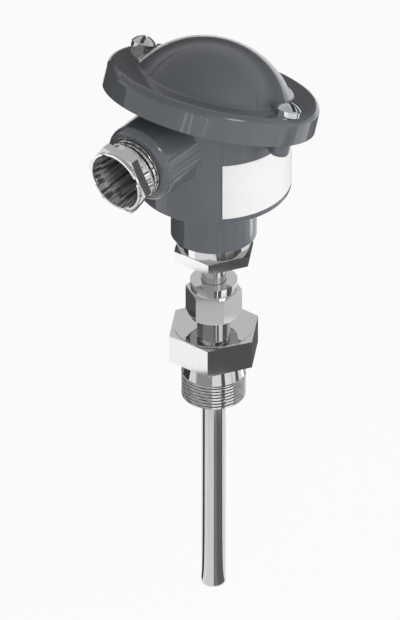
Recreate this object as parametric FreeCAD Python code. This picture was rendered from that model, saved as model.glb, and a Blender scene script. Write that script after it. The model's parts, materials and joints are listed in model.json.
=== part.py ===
import FreeCAD, Part
import math
import os

Vector = FreeCAD.Vector
up = Vector(0, 0, 1)
centre = Vector(0, 0, 0)

# Frame: millimetres, +Z along the probe towards the head. The origin is on the probe's axis, at the
# sealing face under the process hexagon. The cable entry points to -X and the label faces -Y.

# Fits, used wherever one piece sits in another
threadFit = 0.05
slideFit = 0.25
seatGap = 0.05

# Broken edges, and how far a blank or a cutter runs past the face it meets
smallBreak = 0.2
edgeBreak = 0.5
past = 1.0
cornerShare = 1 - math.sqrt(0.5)

# Process fitting
processFlats = 27.0
processHexHeight = 10.0
processHexTurn = 33.6
cornerFall = 0.2
processFaceRadius = 12.9
processFaceRise = 0.2
processThreadRadius = 10.48
processThreadEnd = 16.2
reliefRadius = 9.4
reliefLength = 2.2
reliefCone = 1.1
neckRadius = 5.45
neckVisible = 4.95
neckInNut = 5.2

# Protection tube
tubeRadius = 4.0
tubeWall = 0.75
insertionLength = 90.0
plugThickness = 2.2
plugSpigot = 0.8
tipRounding = 0.6

# Union nut and its ferrule
unionFlats = 16.0
unionHexHeight = 9.85
unionHexTurn = 2.3
unionTopFall = 0.3
unionBottomRise = 0.85
unionCollarRadius = 7.7
unionCollarHeight = 3.2
ferruleLength = 3.7
ferruleWall = 1.15
ferruleTipWall = 0.4
ferruleStep = 0.4
ferruleGap = 0.4

# Neck fitting that carries the head
neckFlats = 24.0
neckHexBottom = 38.3
neckHexHeight = 3.9
neckHexTurn = 33.7
neckRingRadius = 11.85
neckRingHeight = 4.3
weldRadius = 4.9
weldHeight = 1.0
weldFoot = 0.3
weldBulge = 0.25
headThreadRadius = 12.0
headThreadLength = 13.5
headReliefDepth = 1.2
headReliefLength = 1.5
headReliefCone = 0.7
headThreadBreak = 0.8
headThreadRoom = 0.6

# Head housing
collarRadius = 14.0
collarHeight = 18.4
bowlRadius = 25.0
bowlWall = 3.0
bowlFloor = 3.5
bowlEdge = 0.8
collarEdge = 0.3
footRadius = 16.6
footHeight = 1.0
floorRounding = 2.0
neckHoleRadius = 8.0
padRadius = 4.4
padHeight = 2.0
padHoleFloor = 1.2

# Lid, described in its own tilted frame with z = 0 at the top face of its flange
lidTilt = 20.0
lidHeight = 103.9
lidShift = 0.6
lidScrewEdge = 4.4
lidSkirt = 9.05
lidWall = 3.0
lidEdge = 2.6
domeEdge = 4.7
domeDepthRatio = 0.548
domeFoot = 2.5
domeFlat = 0.5
lidTravelGap = 0.6
gasketInset = 0.25
gasketWidth = 1.8
gasketThickness = 2.0
gasketGroove = 0.8

# Rim of the housing under the lid
flangeThickness = 4.0

# Lid screws
gasketToLug = 0.9
lidScrewRadius = 2.0
lidScrewLength = 11.6
screwHeadRadius = 4.1
screwHeadSide = 1.8
screwHeadCrown = 2.1
crownOutRatio = 0.55
crownUpRatio = 0.72
slotWidth = 1.2
slotDepth = 1.7
frontSlotTurn = 69.0
backSlotTurn = 23.0
pocketRadius = 6.0
pocketRounding = 1.2
pocketWall = 0.8
pocketFlare = 2.4
lugRadius = 3.3
lugDrop = 4.95
lugRounding = 1.6

# Cable entry, described along its own axis, which leaves the probe's axis this far below the lid
entryBelowLid = 11.0
entryDrop = 5.0
bossRadius = 13.1
bossStandOut = 13.15
bossRounding = 3.0
bossTaper = 1.0
bossRoot = 6.0
bossBlend = 1.5
entryThreadRadius = 10.0
entryRimStandOut = 11.35
entryRimHeight = 0.8
entryRimRadius = 10.3
entryRimWall = 0.7
entryHexHeight = 3.0
entryFlats = 21.0
entryHexTurn = -5.0
entryThreadBreak = 0.6
entryCollarRadius = 9.9
entryCollarHeight = 3.9
entryBoreRadius = 8.0
entryBoreLength = 7.0
entryScrewIn = 5.2
entryNotchWidth = 2.0
entryNotchCount = 4
entryNotchTurn = 24.0
sealPocketRadius = 9.0
sealLength = 5.0
sealHoleRadius = 5.2
thrustRingThickness = 1.0
thrustRingRoom = 0.6
entryHoleRadius = 7.2

# Label
labelBottom = 67.2
labelGap = 1.7
labelHalfAngle = 42.7
labelThickness = 0.15
labelGlue = 0.02

# Measuring insert
plateInset = 1.0
plateThickness = 2.0
fixingInset = 5.5
fixingScrewRadius = 1.95
fixingHeadRadius = 3.6
fixingHeadHeight = 2.6
fixingHeadBreak = 0.4
fixingSlotWidth = 1.0
fixingSlotDepth = 1.1
fixingSlotTurn = 30.0
springLength = 12.0
springRadius = 2.95
springWire = 0.35
springTurns = 5.5
blockInset = 6.0
blockHeight = 11.0
blockEdge = 0.8
blockHoleRadius = 4.0
blockNotchRadius = 4.2
terminalCount = 4
terminalInset = 5.4
terminalAngle = 35.0
terminalLong = 6.0
terminalWide = 5.0
terminalTall = 8.5
terminalRise = 1.5
terminalEdge = 0.4
terminalThreadRadius = 1.5
terminalThreadDepth = 3.0
terminalScrewRadius = 2.3
terminalScrewHeight = 1.5
smallSlotWidth = 0.8
smallSlotDepth = 0.8
blockScrewInset = 4.0
blockScrewRadius = 1.5
blockScrewHead = 2.4
blockScrewHeadHeight = 1.6
blockScrewSink = 2.0
blockScrewTurn = 40.0
earthScrewInset = 3.0
earthHeadRadius = 2.5
earthHeadHeight = 1.8
earthSlotTurn = 60.0
earthWasherRadius = 2.8
earthWasherThickness = 0.6
sheathRadius = 3.0
sheathWall = 0.4
sheathEnd = 0.6
sheathTipGap = 0.4
sheathRounding = 0.8
fillingSink = 0.4
elementRadius = 1.4
elementLength = 15.0
elementStandoff = 0.6
wireRadius = 0.45
wirePitchRadius = 1.15
wireBend = 1.6
wireClearance = 0.3

# Heights that follow
nutBottom = processHexHeight + processFaceRise + neckVisible
nutTop = nutBottom + unionHexHeight + unionCollarHeight
neckHexTop = neckHexBottom + neckHexHeight
collarBottom = neckHexTop + neckRingHeight
spigotTop = collarBottom + headThreadLength
bowlBottom = collarBottom + collarHeight
floorHeight = bowlBottom + bowlFloor
padTop = floorHeight + padHeight
plateTop = padTop + plateThickness
blockTop = plateTop + blockHeight
terminalTop = blockTop + terminalRise
fixingHeadBottom = plateTop + springLength
entryHeight = lidHeight - entryBelowLid
tubeInner = tubeRadius - tubeWall
plugTop = -insertionLength + plugThickness + plugSpigot
sheathBottom = plugTop + sheathTipGap
rimTop = -(lidWall - gasketGroove + gasketThickness + seatGap)
lugBottom = -(lidSkirt + lugDrop)

# Radii and distances that follow from the bowl's radius
wellRadius = bowlRadius - bowlWall
plateRadius = wellRadius - plateInset
fixingOffset = wellRadius - fixingInset
earthScrewOffset = plateRadius - earthScrewInset
blockRadius = plateRadius - blockInset
blockScrewOffset = blockRadius - blockScrewInset
terminalRadius = blockRadius - terminalInset
bossEnd = bowlRadius + bossStandOut
entryRimEnd = bossEnd + entryRimStandOut
screwInEnd = bossEnd - entryScrewIn

# Directions of the tilted lid and of the cable entry
tilt = math.radians(lidTilt)
drop = math.radians(entryDrop)
gasketInner = wellRadius / math.cos(tilt) - rimTop * math.tan(tilt) - lidShift + gasketInset
lidScrewOffset = gasketInner + gasketWidth + gasketToLug + lugRadius
lidRadius = lidScrewOffset + lidScrewEdge
flangeRadius = lidRadius - lidWall - lidTravelGap
domeRadius = lidRadius - domeEdge
domeDepth = domeRadius * domeDepthRatio
labelReach = bowlRadius * math.sin(math.radians(labelHalfAngle))
labelTop = lidHeight + (rimTop - flangeThickness) / math.cos(tilt) - labelReach * math.tan(tilt) - labelGap
labelHeight = labelTop - labelBottom
lidNormal = Vector(math.sin(tilt), 0, math.cos(tilt))
lidDown = Vector(math.cos(tilt), 0, -math.sin(tilt))
across = Vector(0, 1, 0)
entryAxis = Vector(-math.cos(drop), 0, -math.sin(drop))
lidMiddle = Vector(0, 0, lidHeight) + lidDown * lidShift
lidFrame = FreeCAD.Placement(lidMiddle, FreeCAD.Rotation(lidDown, across, lidNormal, "ZXY"))
entryFrame = FreeCAD.Placement(
    Vector(0, 0, entryHeight),
    FreeCAD.Rotation(across, entryAxis.cross(across), entryAxis, "ZXY"),
)


def placed(shape, frame):
    moved = shape.copy()
    moved.Placement = frame.multiply(moved.Placement)
    return moved


def turned(start, *steps):
    """Turn a closed outline of (radius, height) points about Z; a step of four numbers is an arc
    that ends at the first two and passes through the last two."""
    edges = []
    here = Vector(start[0], 0, start[1])
    for step in steps:
        there = Vector(step[0], 0, step[1])
        if len(step) == 4:
            edges.append(Part.Arc(here, Vector(step[2], 0, step[3]), there).toShape())
        elif not there.isEqual(here, 1e-6):
            edges.append(Part.makeLine(here, there))
        here = there
    return Part.Face(Part.Wire(edges)).revolve(centre, up, 360)


def rod(radius, bottom, top, x=0.0, y=0.0):
    return Part.makeCylinder(radius, top - bottom, Vector(x, y, bottom), up)


def tube(outer, inner, bottom, top, x=0.0, y=0.0):
    return rod(outer, bottom, top, x, y).cut(rod(inner, bottom, top, x, y))


def cornerArc(radius, height, rounding, outward, upward):
    """The end and the middle point of a quarter arc that rounds the corner at (radius, height):
    it starts on the vertical side and ends on the horizontal one."""
    shift = rounding * cornerShare
    return (
        radius - outward * rounding,
        height,
        radius - outward * shift,
        height - upward * shift,
    )


def hexagon(flats, bottom, top, turn, topFall, bottomRise):
    """A hexagonal bar; its corners are turned off by the given heights above and below."""
    corner = flats / math.sqrt(3)
    points = []
    for side in range(7):
        angle = math.radians(turn + 60 * side)
        points.append(Vector(corner * math.cos(angle), corner * math.sin(angle), bottom))
    bar = Part.Face(Part.makePolygon(points)).extrude(Vector(0, 0, top - bottom))
    start = flats / 2 - smallBreak
    reach = corner + past
    share = (reach - start) / (corner - start)
    lathe = turned(
        (0, bottom),
        (start, bottom),
        (reach, bottom + bottomRise * share),
        (reach, top - topFall * share),
        (start, top),
        (0, top),
        (0, bottom),
    )
    return bar.common(lathe).removeSplitter()


def slot(width, depth, top, turn, reach):
    bar = Part.makeBox(2 * reach, width, depth, Vector(-reach, -width / 2, top - depth))
    bar.rotate(centre, up, turn)
    return bar


def processFitting():
    hexTop = processHexHeight
    faceTop = hexTop + processFaceRise
    neckTop = nutBottom + neckInNut
    body = hexagon(processFlats, 0, hexTop, processHexTurn, cornerFall, 0)
    body = body.fuse(rod(processFaceRadius, hexTop - past, faceTop))
    threadTop = -(reliefLength + reliefCone)
    stem = turned(
        (0, past),
        (reliefRadius, past),
        (reliefRadius, -reliefLength),
        (processThreadRadius, threadTop),
        (processThreadRadius, -processThreadEnd + edgeBreak),
        (processThreadRadius - edgeBreak, -processThreadEnd),
        (0, -processThreadEnd),
        (0, past),
    )
    neck = turned(
        (0, faceTop - past),
        (neckRadius, faceTop - past),
        (neckRadius, neckTop - edgeBreak),
        (neckRadius - edgeBreak, neckTop),
        (0, neckTop),
        (0, faceTop - past),
    )
    body = body.fuse([stem, neck])
    bore = rod(tubeRadius + threadFit, -processThreadEnd - past, neckTop + past)
    return body.cut(bore).removeSplitter()


def protectionTube():
    return tube(tubeRadius, tubeInner, -insertionLength + plugThickness, spigotTop)


def tubePlug():
    bottom = -insertionLength
    corner = cornerArc(tubeRadius, bottom, tipRounding, 1, -1)
    discTop = bottom + plugThickness
    spigotRadius = tubeInner - threadFit
    return turned(
        (0, plugTop),
        (spigotRadius, plugTop),
        (spigotRadius, discTop),
        (tubeRadius, discTop),
        (tubeRadius, bottom + tipRounding),
        corner,
        (0, bottom),
        (0, plugTop),
    )


def unionNut():
    hexTop = nutBottom + unionHexHeight
    threadTop = nutBottom + neckInNut + ferruleGap
    coneTop = threadTop + ferruleLength
    body = hexagon(unionFlats, nutBottom, hexTop, unionHexTurn, unionTopFall, unionBottomRise)
    body = body.fuse(rod(unionCollarRadius, hexTop - past, nutTop))
    cavity = turned(
        (0, nutBottom - past),
        (neckRadius + threadFit, nutBottom - past),
        (neckRadius + threadFit, threadTop),
        (tubeRadius + ferruleTipWall + 2 * threadFit, coneTop),
        (tubeRadius + 3 * threadFit, coneTop),
        (tubeRadius + 3 * threadFit, nutTop + past),
        (0, nutTop + past),
        (0, nutBottom - past),
    )
    return body.cut(cavity).removeSplitter()


def ferrule():
    bottom = nutBottom + neckInNut + seatGap
    top = bottom + ferruleLength
    inner = tubeRadius + threadFit
    return turned(
        (inner, bottom),
        (tubeRadius + ferruleWall, bottom),
        (tubeRadius + ferruleWall, bottom + ferruleStep),
        (tubeRadius + ferruleTipWall, top),
        (inner, top),
        (inner, bottom),
    )


def neckFitting():
    spigotRadius = headThreadRadius - threadFit
    body = hexagon(neckFlats, neckHexBottom, neckHexTop, neckHexTurn, cornerFall, 0)
    ring = turned(
        (0, neckHexTop - past),
        (neckRingRadius, neckHexTop - past),
        (neckRingRadius, collarBottom),
        (spigotRadius - headReliefDepth, collarBottom),
        (spigotRadius - headReliefDepth, collarBottom + headReliefLength),
        (spigotRadius, collarBottom + headReliefLength + headReliefCone),
        (spigotRadius, spigotTop - headThreadBreak),
        (spigotRadius - headThreadBreak, spigotTop),
        (0, spigotTop),
        (0, neckHexTop - past),
    )
    weldBottom = neckHexBottom - weldHeight
    weld = turned(
        (0, weldBottom),
        (tubeRadius + weldFoot, weldBottom),
        (weldRadius, neckHexBottom, weldRadius - weldBulge, weldBottom + weldFoot),
        (weldRadius, neckHexBottom + past),
        (0, neckHexBottom + past),
        (0, weldBottom),
    )
    body = body.fuse([ring, weld])
    return body.cut(rod(tubeRadius + threadFit, weldBottom - past, spigotTop + past)).removeSplitter()


def bowlBlank():
    top = lidHeight + lidRadius * math.sin(tilt)
    edgeShift = bowlEdge * cornerShare
    return turned(
        (0, collarBottom),
        (collarRadius - collarEdge, collarBottom),
        (collarRadius, collarBottom + collarEdge),
        (collarRadius, bowlBottom - footHeight),
        (footRadius, bowlBottom - footHeight),
        (footRadius, bowlBottom),
        (bowlRadius - bowlEdge, bowlBottom),
        (bowlRadius, bowlBottom + bowlEdge, bowlRadius - edgeShift, bowlBottom + edgeShift),
        (bowlRadius, top),
        (0, top),
        (0, collarBottom),
    )


def cableBoss():
    root = wellRadius - bossRoot
    side = bossEnd - bossRounding
    rootRadius = bossRadius + (side - root) * math.tan(math.radians(bossTaper))
    boss = turned(
        (0, root),
        (rootRadius, root),
        (bossRadius, side),
        cornerArc(bossRadius, bossEnd, bossRounding, 1, 1),
        (0, bossEnd),
        (0, root),
    )
    return placed(boss, entryFrame)


def cableBore():
    """The stepped hole of the boss: thread, seal pocket and the hole into the bowl."""
    thread = entryThreadRadius + threadFit
    sealBottom = screwInEnd - 2 * thrustRingThickness - sealLength - 3 * seatGap
    threadBottom = screwInEnd - seatGap
    inside = bossRadius
    outside = bossEnd + past
    hole = turned(
        (0, inside),
        (entryHoleRadius, inside),
        (entryHoleRadius, sealBottom),
        (sealPocketRadius + seatGap, sealBottom),
        (sealPocketRadius + seatGap, threadBottom),
        (thread, threadBottom),
        (thread, bossEnd - smallBreak),
        (thread + smallBreak, bossEnd),
        (thread + smallBreak, outside),
        (0, outside),
        (0, inside),
    )
    return placed(hole, entryFrame)


def rimFlange():
    """The tilted round flange under the lid, with a lug for each lid screw."""
    bottom = rimTop - flangeThickness
    flange = rod(flangeRadius, bottom, rimTop)
    parts = []
    for side in (-1, 1):
        reach = side * lidScrewOffset
        lug = turned(
            (0, rimTop),
            (lugRadius, rimTop),
            (lugRadius, lugBottom + lugRounding),
            cornerArc(lugRadius, lugBottom, lugRounding, 1, -1),
            (0, lugBottom),
            (0, rimTop),
        )
        lug.translate(Vector(0, reach, 0))
        webDepth = lidScrewOffset - wellRadius
        start = reach if side < 0 else reach - webDepth
        web = Part.makeBox(
            2 * lugRadius,
            webDepth,
            rimTop - lugBottom - lugRounding,
            Vector(-lugRadius, start, lugBottom + lugRounding),
        )
        parts.append(lug)
        parts.append(web)
    return placed(flange.fuse(parts), lidFrame)


def bowlCavity():
    top = lidHeight + lidRadius * math.sin(tilt)
    shift = floorRounding * cornerShare
    return turned(
        (0, floorHeight),
        (wellRadius - floorRounding, floorHeight),
        (wellRadius, floorHeight + floorRounding, wellRadius - shift, floorHeight + shift),
        (wellRadius, top),
        (0, top),
        (0, floorHeight),
    )


def onBowlAndBoss(edge):
    """True for an edge of the joint between the bowl's wall and the cable boss."""
    for share in (0.25, 0.5, 0.75):
        spot = edge.valueAt(edge.FirstParameter + share * (edge.LastParameter - edge.FirstParameter))
        fromAxis = math.hypot(spot.x, spot.y)
        if abs(fromAxis - bowlRadius) > 0.01:
            return False
        local = entryFrame.inverse().multVec(spot)
        if math.hypot(local.x, local.y) > bossRadius + 2 or spot.x > 0:
            return False
    return True


def headHousing():
    blank = bowlBlank().fuse(cableBoss())
    joint = [edge for edge in blank.Edges if onBowlAndBoss(edge)]
    blank = blank.makeFillet(bossBlend, joint)
    blank = blank.fuse(rimFlange())
    over = rod(2 * lidRadius, rimTop, rimTop + lidRadius)
    body = blank.cut(placed(over, lidFrame))
    body = body.cut([bowlCavity(), cableBore()])
    pads = []
    padHoles = []
    for side in (-1, 1):
        pads.append(rod(padRadius, floorHeight - past, padTop, 0, side * fixingOffset))
        holeBottom = bowlBottom + padHoleFloor
        padHoles.append(rod(fixingScrewRadius + threadFit, holeBottom, padTop, 0, side * fixingOffset))
    body = body.fuse(pads).cut(padHoles)
    body = body.cut(rod(headThreadRadius, collarBottom - past, spigotTop + headThreadRoom))
    body = body.cut(rod(neckHoleRadius, spigotTop, floorHeight + past))
    for side in (-1, 1):
        holeBottom = -lidScrewLength - edgeBreak
        hole = rod(lidScrewRadius + threadFit, holeBottom, rimTop + past, 0, side * lidScrewOffset)
        body = body.cut(placed(hole, lidFrame))
    return body.removeSplitter()


def lidShell():
    """The lid turned in one outline: dome, foot fillet, flange, skirt, gasket groove and hollow."""
    footRadius = math.sqrt((domeRadius + domeFoot) ** 2 - (domeDepth + domeFoot) ** 2)
    share = domeRadius / (domeRadius + domeFoot)
    footTop = (footRadius * share, -domeDepth + (domeDepth + domeFoot) * share)
    domeTop = math.sqrt(domeRadius ** 2 - domeFlat ** 2) - domeDepth
    halfAngle = (math.asin(footTop[0] / domeRadius) + math.asin(domeFlat / domeRadius)) / 2
    domeMiddle = (domeRadius * math.sin(halfAngle), domeRadius * math.cos(halfAngle) - domeDepth)
    footAngle = (math.pi / 2 + math.atan2(domeDepth + domeFoot, footRadius)) / 2
    footMiddle = (footRadius - domeFoot * math.cos(footAngle), domeFoot - domeFoot * math.sin(footAngle))
    innerDome = domeRadius - lidWall
    ceiling = -lidWall
    innerFoot = math.sqrt(innerDome ** 2 - (domeDepth + ceiling) ** 2)
    innerTop = math.sqrt(innerDome ** 2 - domeFlat ** 2) - domeDepth
    innerAngle = (math.asin(innerFoot / innerDome) + math.asin(domeFlat / innerDome)) / 2
    innerMiddle = (innerDome * math.sin(innerAngle), innerDome * math.cos(innerAngle) - domeDepth)
    skirtInner = lidRadius - lidWall
    grooveInner = gasketInner - seatGap
    grooveOuter = gasketInner + gasketWidth + seatGap
    edgeShift = lidEdge * cornerShare
    return turned(
        (0, domeTop),
        (domeFlat, domeTop),
        (footTop[0], footTop[1], domeMiddle[0], domeMiddle[1]),
        (footRadius, 0, footMiddle[0], footMiddle[1]),
        (lidRadius - lidEdge, 0),
        (lidRadius, -lidEdge, lidRadius - edgeShift, -edgeShift),
        (lidRadius, -lidSkirt),
        (skirtInner, -lidSkirt),
        (skirtInner, ceiling),
        (grooveOuter, ceiling),
        (grooveOuter, ceiling + gasketGroove),
        (grooveInner, ceiling + gasketGroove),
        (grooveInner, ceiling),
        (innerFoot, ceiling),
        (domeFlat, innerTop, innerMiddle[0], innerMiddle[1]),
        (0, innerTop),
        (0, domeTop),
    )


def screwPocket():
    """The cutter that frees the screw's head from the dome: a round pocket with a flared mouth."""
    wallTop = pocketRounding + pocketWall
    flareTop = wallTop + pocketFlare
    cutTop = flareTop + domeRadius - domeDepth
    shift = pocketFlare * cornerShare
    corner = pocketRounding * cornerShare
    return turned(
        (0, 0),
        (pocketRadius - pocketRounding, 0),
        (pocketRadius, pocketRounding, pocketRadius - corner, corner),
        (pocketRadius, wallTop),
        (pocketRadius + pocketFlare, flareTop, pocketRadius + shift, flareTop - shift),
        (pocketRadius + pocketFlare, cutTop),
        (0, cutTop),
        (0, 0),
    )


def lid():
    body = lidShell()
    for side in (-1, 1):
        place = Vector(0, side * lidScrewOffset, 0)
        pocket = screwPocket()
        pocket.translate(place)
        relief = rod(lugRadius + lidTravelGap / 2, -lidSkirt - past, -lidWall, 0, side * lidScrewOffset)
        hole = rod(lidScrewRadius + slideFit, -lidWall - past, past, 0, side * lidScrewOffset)
        body = body.cut([pocket, relief, hole])
    return placed(body, lidFrame).removeSplitter()


def lidGasket():
    top = -lidWall + gasketGroove
    ring = tube(gasketInner + gasketWidth, gasketInner, top - gasketThickness, top)
    return placed(ring, lidFrame)


def lidScrew(side, turn):
    headTop = screwHeadSide + screwHeadCrown
    rimRadius = screwHeadRadius
    crownMiddle = (rimRadius * crownOutRatio, screwHeadSide + screwHeadCrown * crownUpRatio)
    body = turned(
        (0, -lidScrewLength),
        (lidScrewRadius - edgeBreak, -lidScrewLength),
        (lidScrewRadius, -lidScrewLength + edgeBreak),
        (lidScrewRadius, 0),
        (rimRadius, 0),
        (rimRadius, screwHeadSide),
        (0, headTop, crownMiddle[0], crownMiddle[1]),
        (0, -lidScrewLength),
    )
    cutTop = headTop + screwHeadCrown
    body = body.cut(slot(slotWidth, slotDepth + screwHeadCrown, cutTop, turn, rimRadius + past))
    body.translate(Vector(0, side * lidScrewOffset, 0))
    return placed(body, lidFrame)


def label():
    inner = bowlRadius + labelGlue
    ring = tube(inner + labelThickness, inner, labelBottom, labelBottom + labelHeight)
    reach = 2 * bowlRadius
    half = math.radians(labelHalfAngle)
    side = reach * math.tan(half)
    wedge = Part.Face(Part.makePolygon([
        Vector(0, 0, labelBottom),
        Vector(-side, -reach, labelBottom),
        Vector(side, -reach, labelBottom),
        Vector(0, 0, labelBottom),
    ])).extrude(Vector(0, 0, labelHeight))
    return ring.common(wedge)


def glandScrew():
    """The hollow pressure screw: rim with notches, hexagon, collar and thread, all in one piece."""
    hexTop = entryRimEnd - entryRimHeight
    hexBottom = hexTop - entryHexHeight
    collarEnd = hexBottom - entryCollarHeight
    hexBar = hexagon(entryFlats, hexBottom, hexTop, entryHexTurn, cornerFall, 0)
    threadCore = entryThreadRadius - entryThreadBreak
    turnedPart = turned(
        (0, screwInEnd),
        (threadCore, screwInEnd),
        (entryThreadRadius, screwInEnd + entryThreadBreak),
        (entryThreadRadius, collarEnd - entryThreadBreak),
        (threadCore, collarEnd - entryThreadBreak),
        (threadCore, collarEnd),
        (entryCollarRadius, collarEnd),
        (entryCollarRadius, hexTop - past),
        (entryRimRadius, hexTop - past),
        (entryRimRadius, entryRimEnd),
        (0, entryRimEnd),
        (0, screwInEnd),
    )
    mouthRadius = entryRimRadius - entryRimWall
    flareStart = screwInEnd + entryBoreLength
    bore = turned(
        (0, screwInEnd - past),
        (entryBoreRadius, screwInEnd - past),
        (entryBoreRadius, flareStart),
        (mouthRadius, entryRimEnd),
        (mouthRadius, entryRimEnd + past),
        (0, entryRimEnd + past),
        (0, screwInEnd - past),
    )
    body = hexBar.fuse(turnedPart).cut(bore)
    for number in range(entryNotchCount):
        turn = entryNotchTurn + 360 * number / entryNotchCount
        notch = Part.makeBox(
            entryRimWall + 2 * past,
            entryNotchWidth,
            entryRimHeight + past,
            Vector(mouthRadius - past, -entryNotchWidth / 2, hexTop),
        )
        notch.rotate(centre, up, turn)
        body = body.cut(notch)
    return placed(body, entryFrame).removeSplitter()


def thrustRing(bottom):
    ring = tube(sealPocketRadius, sealHoleRadius + thrustRingRoom, bottom, bottom + thrustRingThickness)
    return placed(ring, entryFrame)


def glandSeal(bottom):
    return placed(tube(sealPocketRadius, sealHoleRadius, bottom, bottom + sealLength), entryFrame)


def insertPlate():
    body = rod(plateRadius, padTop, plateTop)
    holes = [rod(sheathRadius, padTop, plateTop)]
    for side in (-1, 1):
        holes.append(rod(fixingScrewRadius + slideFit, padTop, plateTop, 0, side * fixingOffset))
        holes.append(rod(blockScrewRadius, padTop, plateTop, side * blockScrewOffset, 0))
    holes.append(rod(blockScrewRadius, padTop, plateTop, earthScrewOffset, 0))
    return body.cut(holes)


def fixingScrew(side):
    headTop = fixingHeadBottom + fixingHeadHeight
    tip = bowlBottom + padHoleFloor + smallBreak
    body = turned(
        (0, tip),
        (fixingScrewRadius, tip),
        (fixingScrewRadius, fixingHeadBottom),
        (fixingHeadRadius, fixingHeadBottom),
        (fixingHeadRadius, headTop - fixingHeadBreak),
        (fixingHeadRadius - fixingHeadBreak, headTop),
        (0, headTop),
        (0, tip),
    )
    reach = fixingHeadRadius + past
    body = body.cut(slot(fixingSlotWidth, fixingSlotDepth, headTop, fixingSlotTurn * side, reach))
    body.translate(Vector(0, side * fixingOffset, 0))
    return body


def insertSpring(side):
    bottom = plateTop + springWire + seatGap
    rise = springLength - 2 * (springWire + seatGap)
    path = Part.makeHelix(rise / springTurns, rise, springRadius)
    start = Vector(springRadius, 0, 0)
    section = Part.Wire(Part.makeCircle(springWire, start, across))
    coil = Part.Wire(path).makePipeShell([section], True, True)
    coil.translate(Vector(0, side * fixingOffset, bottom))
    return coil


def terminalAngles():
    quarter = (terminalAngle, 180 - terminalAngle, 180 + terminalAngle, 360 - terminalAngle)
    return quarter[:terminalCount]


def terminalBlock():
    body = rod(blockRadius, plateTop, blockTop)
    body = body.makeFillet(blockEdge, [edge for edge in body.Edges if edge.BoundBox.ZMin > blockTop - smallBreak])
    cuts = [rod(blockHoleRadius, plateTop, blockTop)]
    for side in (-1, 1):
        cuts.append(rod(blockNotchRadius, plateTop, blockTop, 0, side * fixingOffset))
        cuts.append(rod(blockScrewRadius, plateTop, blockTop, side * blockScrewOffset, 0))
        cuts.append(rod(blockScrewHead + slideFit, blockTop - blockScrewSink, blockTop, side * blockScrewOffset, 0))
    for angle in terminalAngles():
        pocket = Part.makeBox(
            terminalLong + 2 * seatGap,
            terminalWide + 2 * seatGap,
            terminalTall - terminalRise + past,
            Vector(
                terminalRadius - terminalLong / 2 - seatGap,
                -terminalWide / 2 - seatGap,
                terminalTop - terminalTall,
            ),
        )
        pocket.rotate(centre, up, angle)
        cuts.append(pocket)
    return body.cut(cuts)


def terminal(angle):
    bottom = terminalTop - terminalTall
    inner = terminalRadius - terminalLong / 2
    body = Part.makeBox(terminalLong, terminalWide, terminalTall, Vector(inner, -terminalWide / 2, bottom))
    body = body.makeFillet(terminalEdge, [edge for edge in body.Edges if edge.BoundBox.ZLength > terminalTall / 2])
    body = body.cut(rod(terminalThreadRadius, terminalTop - terminalThreadDepth, terminalTop, terminalRadius, 0))
    body.rotate(centre, up, angle)
    return body


def terminalScrews():
    screws = []
    for angle in terminalAngles():
        headTop = terminalTop + terminalScrewHeight
        tip = terminalTop - terminalThreadDepth + smallBreak
        shank = terminalThreadRadius - threadFit
        body = turned(
            (0, tip),
            (shank, tip),
            (shank, terminalTop),
            (terminalScrewRadius, terminalTop),
            (terminalScrewRadius, headTop - smallBreak),
            (terminalScrewRadius - smallBreak, headTop),
            (0, headTop),
            (0, tip),
        )
        reach = terminalScrewRadius + past
        body = body.cut(slot(smallSlotWidth, smallSlotDepth, headTop, 2 * angle, reach))
        body.translate(Vector(terminalRadius, 0, 0))
        body.rotate(centre, up, angle)
        screws.append(body)
    return Part.makeCompound(screws)


def blockScrews():
    screws = []
    for side in (-1, 1):
        headBottom = blockTop - blockScrewSink
        headTop = headBottom + blockScrewHeadHeight
        shank = rod(blockScrewRadius - threadFit, padTop + smallBreak, headBottom)
        body = shank.fuse(rod(blockScrewHead, headBottom, headTop))
        reach = blockScrewHead + past
        body = body.cut(slot(smallSlotWidth, smallSlotDepth, headTop, blockScrewTurn * side, reach))
        body.translate(Vector(side * blockScrewOffset, 0, 0))
        screws.append(body)
    return Part.makeCompound(screws)


def earthWasher():
    return tube(
        earthWasherRadius,
        blockScrewRadius + threadFit,
        plateTop,
        plateTop + earthWasherThickness,
        earthScrewOffset,
        0,
    )


def earthScrew():
    headBottom = plateTop + earthWasherThickness
    headTop = headBottom + earthHeadHeight
    body = rod(blockScrewRadius - threadFit, padTop + smallBreak, headBottom)
    body = body.fuse(rod(earthHeadRadius, headBottom, headTop))
    body = body.cut(slot(smallSlotWidth, smallSlotDepth, headTop, earthSlotTurn, earthHeadRadius + past))
    body.translate(Vector(earthScrewOffset, 0, 0))
    return body


def insertSheath():
    outer = rod(sheathRadius, sheathBottom, plateTop)
    tipEdges = [edge for edge in outer.Edges if edge.BoundBox.ZMax < sheathBottom + smallBreak]
    outer = outer.makeFillet(sheathRounding, tipEdges)
    return outer.cut(rod(sheathRadius - sheathWall, sheathBottom + sheathEnd, plateTop))


def elementSpan():
    bottom = sheathBottom + sheathEnd + elementStandoff
    return bottom, bottom + elementLength


def wirePlaces():
    places = []
    for angle in terminalAngles():
        places.append((angle, wirePitchRadius))
    return places


def insertFilling():
    bottom = sheathBottom + sheathEnd + threadFit
    elementBottom, elementTop = elementSpan()
    body = rod(sheathRadius - sheathWall - threadFit, bottom, plateTop - fillingSink)
    cuts = [rod(elementRadius + threadFit, elementBottom - threadFit, elementTop + threadFit)]
    for angle, radius in wirePlaces():
        x = radius * math.cos(math.radians(angle))
        y = radius * math.sin(math.radians(angle))
        cuts.append(rod(wireRadius + threadFit, elementTop, plateTop, x, y))
    return body.cut(cuts)


def rtdElement():
    bottom, top = elementSpan()
    return rod(elementRadius, bottom, top)


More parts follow.
